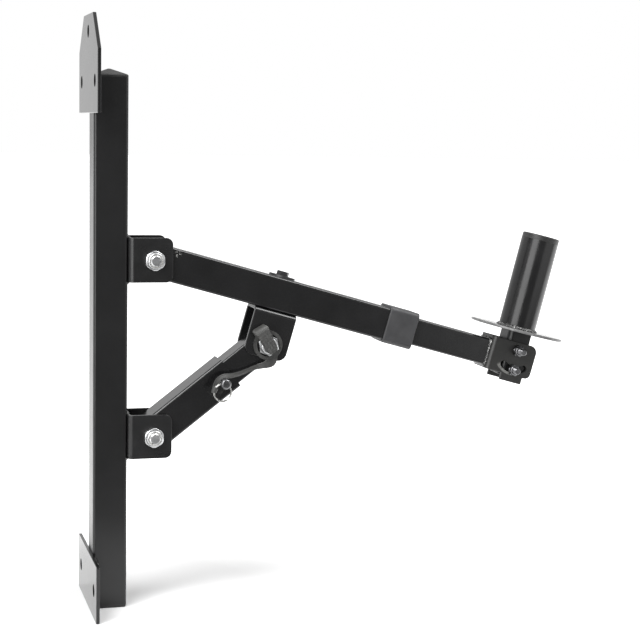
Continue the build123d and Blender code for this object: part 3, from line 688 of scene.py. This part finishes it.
# Lock nuts with chamfered corners, a rounded crown and a nylon ring in its mouth
def lock_nut(name, node, body):
    low, high = (Vector(corner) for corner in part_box(node))
    seat = Vector(((low.x + high.x) / 2, high.y, (low.z + high.z) / 2))
    height = high.y - low.y
    face_r = NUT_FACE_SHARE * NUT_ACROSS / 2
    angles = [tau * i / NUT_SIDES for i in range(NUT_SIDES)]
    hexagon = [min(hexagon_reach(angle, NUT_ACROSS), NUT_ROUND_R) for angle in angles]
    round_rings = [(face_r, NUT_FLATS), (NUT_CROWN_R, NUT_FLATS)]
    for step in range(NUT_CROWN_STEPS + 1):
        bend = pi / 2 * step / NUT_CROWN_STEPS
        reach = NUT_CROWN_R - NUT_CROWN_ROUND * (1 - cos(bend))
        round_rings.append((reach, height - NUT_CROWN_ROUND * (1 - sin(bend))))
    round_rings += [
        (NUT_MOUTH_R, height - NUT_MOUTH_EDGE),
        (NUT_MOUTH_R, height - NUT_MOUTH_DEPTH),
        (NUT_BORE_R, height - NUT_MOUTH_DEPTH),
        (NUT_BORE_R, 0),
    ]
    metal_layers = [
        [(reach, 0) for reach in hexagon],
        [(reach, NUT_FLATS - NUT_CHAMFER_SLOPE * (reach - face_r)) for reach in hexagon],
    ]
    metal_layers += [[ring] * NUT_SIDES for ring in round_rings]
    nylon_rings = [
        (NUT_MOUTH_R, height - NYLON_FLOOR),
        (NUT_MOUTH_R, height - NYLON_OUTER),
        (NUT_BORE_R, height - NYLON_INNER),
        (NUT_BORE_R, height - NYLON_FLOOR),
    ]
    nylon_layers = [[ring] * NUT_SIDES for ring in nylon_rings]
    for label, slot, layers in (
        (name, slot_of[node], metal_layers),
        (name + "_nylon", "nylon", nylon_layers),
    ):
        points = []
        for layer in layers:
            for angle, (reach, depth) in zip(angles, layer):
                points.append(seat + Vector((cos(angle) * reach, -depth, sin(angle) * reach)))
        faces = ring_faces(0, NUT_SIDES, len(layers), True)
        piece = mesh_piece(label, points, faces, slot, body)
        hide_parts(node)


lock_nut("upper_lock_nut", "upper_pivot_nut", "wall_frame")
lock_nut("lower_lock_nut", "lower_pivot_nut", "wall_frame")
threaded_bolt("head_pivot_screw", "head_pivot_bolt", "extension")
threaded_bolt("head_clamp_screw", "head_clamp_bolt", "head")


# Lip along the tongue's near side, which closes the view through the slot
lip_points = []
for depth in (LIP_OUTER, LIP_INNER):
    for sideways, height in LIP_OUTLINE_MM:
        spot = spigot_side * sideways * MM + spigot_up * height * MM
        lip_points.append(head_pivot + spot + NEAR * depth)
lip_faces = ring_faces(0, len(LIP_OUTLINE_MM), 2, False)
mesh_piece("tongue_lip", lip_points, lip_faces, "black_paint", "head")


# Tubes and straps that follow a line of points
def tangent_at(line, index):
    before = line[max(index - 1, 0)]
    after = line[min(index + 1, len(line) - 1)]
    return (after - before).normalized()


def tube_piece(name, line, radius, count, slot, body):
    points = []
    for index, place in enumerate(line):
        tangent = tangent_at(line, index)
        side = tangent.cross(NEAR).normalized()
        over = side.cross(tangent)
        for i in range(count):
            angle = tau * i / count
            points.append(place + (side * cos(angle) + over * sin(angle)) * radius)
    faces = ring_faces(0, count, len(line), False)
    return mesh_piece(name, points, faces, slot, body)


# Split ring: two turns of spring wire with a step between them
ring_centre = box_centre("pin_ring")
ring_line = []
for degree in range(RING_FROM, RING_TO, RING_EVERY):
    lift = min(1, max(0, (degree - RING_RISE_FROM) / RING_RISE_SWEEP))
    lift = lift * lift * (3 - 2 * lift) - 0.5
    angle = radians(degree - RING_TURNED)
    spot = (RIGHT * cos(angle) + UP * sin(angle)) * RING_RADIUS
    ring_line.append(ring_centre + spot + NEAR * lift * RING_STEP)
split_ring = tube_piece("split_ring", ring_line, RING_WIRE / 2, RING_SIDES, "ring_wire", "lock_pin")
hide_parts("pin_ring")

# Knurl on the tether's pull tab: rows of small pyramids
eyelet_centre = box_centre("strut_pivot_nut")
tab_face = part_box("tether_eyelet")[0][1]
tab_along = RIGHT * cos(TAB_ANGLE) + UP * sin(TAB_ANGLE)
tab_across = RIGHT * -sin(TAB_ANGLE) + UP * cos(TAB_ANGLE)
tab_middle = Vector((eyelet_centre.x, tab_face, eyelet_centre.z))
knurl_corners = [
    tab_along * KNURL_REACH,
    tab_across * KNURL_REACH,
    tab_along * -KNURL_REACH,
    tab_across * -KNURL_REACH,
]
knurl_points, knurl_faces = [], []
row = 0
while TAB_FROM + row * KNURL_PITCH / 2 < TAB_TO:
    along = TAB_FROM + row * KNURL_PITCH / 2
    share = (along - TAB_FROM) / (TAB_TO - TAB_FROM)
    half = TAB_HALF_TIP + (TAB_HALF_ROOT - TAB_HALF_TIP) * share
    shift = KNURL_PITCH / 2 if row % 2 else 0
    for column in range(-KNURL_COLUMNS, KNURL_COLUMNS + 1):
        sideways = column * KNURL_PITCH + shift
        if abs(sideways) < half:
            base = tab_middle + tab_along * along + tab_across * sideways
            first = len(knurl_points)
            knurl_points += [base + corner - NEAR * KNURL_SINK for corner in knurl_corners]
            knurl_points.append(base + NEAR * KNURL_HEIGHT)
            knurl_faces += [(first + i, first + (i + 1) % 4, first + 4) for i in range(4)]
            knurl_faces.append((first + 3, first + 2, first + 1, first))
    row += 1
mesh_piece(
    "tab_knurl",
    knurl_points,
    knurl_faces,
    "tether_rubber",
    "strut_inner",
    smooth=radians(10),
    finish=knurl_rubber,
)

# Tether strap: a flat band with raised rims, in two lengths
curve = bpy.data.curves.new("strap_route", "CURVE")
curve.dimensions = "3D"
spline = curve.splines.new("NURBS")
spline.points.add(len(STRAP_ROUTE_MM) - 1)
for point, place in zip(spline.points, STRAP_ROUTE_MM):
    point.co = (*(Vector(place) * MM), 1)
spline.order_u = 3
spline.use_endpoint_u = True
spline.resolution_u = 10
route_object = bpy.data.objects.new("strap_route", curve)
route_mesh = bpy.data.meshes.new_from_object(route_object)
strap_line = [vertex.co.copy() for vertex in route_mesh.vertices]
bpy.data.objects.remove(route_object)
bpy.data.meshes.remove(route_mesh)

travel = [0.0]
for before, after in zip(strap_line, strap_line[1:]):
    travel.append(travel[-1] + (after - before).length)
strap_looks = []
for index in range(len(strap_line)):
    share = index / (len(strap_line) - 1) * (len(STRAP_FACES) - 1)
    step = min(int(share), len(STRAP_FACES) - 2)
    strap_looks.append(Vector(STRAP_FACES[step]).lerp(Vector(STRAP_FACES[step + 1]), share - step))


def strap_section(place, tangent, look, travelled):
    side = tangent.cross(look).normalized()
    out = side.cross(tangent).normalized()
    half = STRAP_WIDTH / 2 * (1 + NECK_FLARE * max(0, 1 - travelled / NECK_LENGTH))
    rim_in = half - STRAP_RIM_WIDTH
    rim_down = rim_in - STRAP_RIM
    high = STRAP_THICK / 2
    low = high - STRAP_RIM
    upper = [
        (-half + STRAP_SOFT, high),
        (-rim_in, high),
        (-rim_down, low),
        (rim_down, low),
        (rim_in, high),
        (half - STRAP_SOFT, high),
    ]
    lower = [(x, -y) for x, y in reversed(upper)]
    right_edge = [(half, high - STRAP_SOFT), (half, -high + STRAP_SOFT)]
    left_edge = [(-half, -high + STRAP_SOFT), (-half, high - STRAP_SOFT)]
    outline = upper + right_edge + lower + left_edge
    return [place + side * x + out * y for x, y in outline]


def strap_piece(name, first, last):
    line = strap_line[first:last + 1]
    points = []
    for index in range(first, last + 1):
        tangent = tangent_at(strap_line, index)
        points += strap_section(strap_line[index], tangent, strap_looks[index], travel[index])
    faces = ring_faces(0, len(points) // len(line), len(line), False)
    piece = mesh_piece(name, points, faces, "tether_rubber", None)
    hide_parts("tether_strap")
    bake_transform(piece)
    return piece, line


# The strap's end is folded round the wire of the split ring
loop_line = []
for i in range(LOOP_STEPS + 1):
    angle = LOOP_AT + (i / LOOP_STEPS - 0.5) * LOOP_WIDTH / RING_RADIUS
    loop_line.append(ring_centre + (RIGHT * cos(angle) + UP * sin(angle)) * RING_RADIUS)
loop_points = []
loop_inner = RING_WIRE / 2 + RING_STEP / 2 + LOOP_GAP
for radius, order in ((loop_inner + LOOP_THICK, loop_line), (loop_inner, loop_line[::-1])):
    for place in order:
        outward = (place - ring_centre).normalized()
        for i in range(LOOP_SIDES):
            angle = tau * i / LOOP_SIDES
            loop_points.append(place + (outward * cos(angle) + NEAR * sin(angle)) * radius)
loop_faces = ring_faces(0, LOOP_SIDES, 2 * len(loop_line), True)
strap_loop = mesh_piece("strap_loop", loop_points, loop_faces, "tether_rubber", "lock_pin")

middle_index = min(range(len(travel)), key=lambda i: abs(travel[i] - travel[-1] / 2))
last_index = len(strap_line) - 1
upper_strap, upper_line = strap_piece("strap_upper", 0, middle_index)
lower_strap, lower_line = strap_piece("strap_lower", middle_index, last_index)

# Floor, lamps and surroundings
low, high = cad_box
floor_z = low[2] - FLOOR_GAP
floor_corners = [
    (-FLOOR_REACH, FLOOR_FRONT, floor_z),
    (FLOOR_REACH, FLOOR_FRONT, floor_z),
    (FLOOR_REACH, FLOOR_REACH, floor_z),
    (-FLOOR_REACH, FLOOR_REACH, floor_z),
]
floor_mesh = bpy.data.meshes.new("floor")
floor_mesh.from_pydata(floor_corners, [], [(0, 1, 2, 3)])
ground = bpy.data.objects.new("floor", floor_mesh)
bpy.context.scene.collection.objects.link(ground)
material, tree, shader = new_material("pale_floor")
shader.inputs["Base Color"].default_value = FLOOR_SHADE
shader.inputs["Roughness"].default_value = FLOOR_ROUGHNESS
shader.inputs["Specular IOR Level"].default_value = 0
glow = add_node(tree, "ShaderNodeEmission")
path = add_node(tree, "ShaderNodeLightPath")
shown = worked(tree, "MAXIMUM", path.outputs["Is Camera Ray"], path.outputs["Is Glossy Ray"])
away = vector_step(tree, "LENGTH", place_in(tree), result="Value")
glowing = ranged(tree, away, FLOOR_GLOW, 1.0, *FLOOR_FADE)
tree.links.new(worked(tree, "MULTIPLY", shown, glowing), glow.inputs["Strength"])
both = add_node(tree, "ShaderNodeAddShader")
tree.links.new(shader.outputs[0], both.inputs[0])
tree.links.new(glow.outputs[0], both.inputs[1])
tree.links.new(both.outputs[0], tree.nodes["Material Output"].inputs["Surface"])
ground.data.materials.append(material)


def aimed(name, lamp, at, aim):
    holder = bpy.data.objects.new(name, lamp)
    holder.location = at
    holder.rotation_euler = (Vector(aim) - Vector(at)).to_track_quat("-Z", "Y").to_euler()
    bpy.context.scene.collection.objects.link(holder)


def area_light(name, at, aim, size, watts):
    lamp = bpy.data.lights.new(name, "AREA")
    lamp.shape = "RECTANGLE"
    lamp.size, lamp.size_y = size
    lamp.energy = watts
    aimed(name, lamp, at, aim)


middle = (Vector(low) + Vector(high)) / 2
sun = bpy.data.lights.new("key", "SUN")
sun.energy = KEY_STRENGTH
sun.angle = KEY_ANGLE
aimed("key", sun, KEY_AT, middle)
for name, settings in PANELS.items():
    area_light(name, *settings)

world = bpy.data.worlds.new("studio")
bpy.context.scene.world = world
world.use_nodes = True
tree = world.node_tree
ambient = tree.nodes["Background"]
ambient.inputs["Color"].default_value = WHITE
ambient.inputs["Strength"].default_value = AMBIENT_STRENGTH
backdrop = add_node(tree, "ShaderNodeBackground", Color=WHITE, Strength=1.0)
mirror = add_node(tree, "ShaderNodeBackground")
around = add_node(tree, "ShaderNodeTexCoord")
way = add_node(tree, "ShaderNodeSeparateXYZ")
tree.links.new(around.outputs["Generated"], way.inputs[0])
brightness = ranged(tree, way.outputs["Y"], *MIRROR_STRENGTHS, *MIRROR_TURN)
tree.links.new(brightness, mirror.inputs["Strength"])
path = add_node(tree, "ShaderNodeLightPath")
seen = worked(tree, "MAXIMUM", path.outputs["Is Camera Ray"], path.outputs["Is Transmission Ray"])
reflected = add_node(tree, "ShaderNodeMixShader")
tree.links.new(path.outputs["Is Glossy Ray"], reflected.inputs["Fac"])
tree.links.new(ambient.outputs[0], reflected.inputs[1])
tree.links.new(mirror.outputs[0], reflected.inputs[2])
choice = add_node(tree, "ShaderNodeMixShader")
tree.links.new(seen, choice.inputs["Fac"])
tree.links.new(reflected.outputs[0], choice.inputs[1])
tree.links.new(backdrop.outputs[0], choice.inputs[2])
tree.links.new(choice.outputs[0], tree.nodes["World Output"].inputs["Surface"])

# Camera
ahead = Vector((sin(CAMERA_YAW), cos(CAMERA_YAW), 0))
forward = ahead * cos(CAMERA_PITCH) - UP * sin(CAMERA_PITCH)
level = Vector((cos(CAMERA_YAW), -sin(CAMERA_YAW), 0))
upright = level.cross(forward)
right = level * cos(CAMERA_ROLL) + upright * sin(CAMERA_ROLL)
up = upright * cos(CAMERA_ROLL) - level * sin(CAMERA_ROLL)
lens = bpy.data.cameras.new("camera")
lens.sensor_fit = "HORIZONTAL"
lens.sensor_width = SENSOR_MM
lens.lens = CAMERA_FOCUS_PX / IMAGE_PX * SENSOR_MM
camera = bpy.data.objects.new("camera", lens)
turn = Matrix((right, up, -forward)).transposed().to_4x4()
camera.matrix_world = Matrix.Translation(CAMERA_AT) @ turn
bpy.context.scene.collection.objects.link(camera)
bpy.context.scene.camera = camera
bpy.context.scene.view_settings.view_transform = "Standard"
